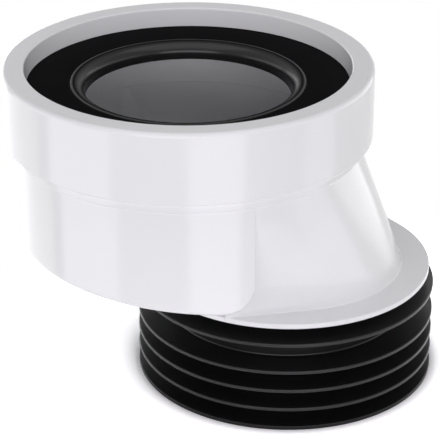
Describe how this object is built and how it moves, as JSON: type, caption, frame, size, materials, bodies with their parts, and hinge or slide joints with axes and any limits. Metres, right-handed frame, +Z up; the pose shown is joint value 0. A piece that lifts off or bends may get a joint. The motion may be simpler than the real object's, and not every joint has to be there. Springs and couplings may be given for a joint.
{
  "type": "toilet pan connector",
  "caption": "Offset toilet pan connector: white moulded body and inlet collar, black rubber inlet seal with a rolled lip, and a black finned seal on the offset outlet.",
  "frame": {"origin": "on the outlet axis, at the foot of the finned seal", "axes": "+Z up along both axes from the outlet to the inlet; the inlet axis stands 40 mm to the -X side of the outlet axis"},
  "size_m": [0.1689, 0.1398, 0.1319],
  "materials": {
    "white_plastic": "smooth satin moulding",
    "black_rubber": "smooth moulded rubber"
  },
  "bodies": {
    "root": {"body": "white_plastic", "retaining_collar": "white_plastic", "inlet_seal": "black_rubber", "outlet_seal": "black_rubber"}
  },
  "joints": []
}
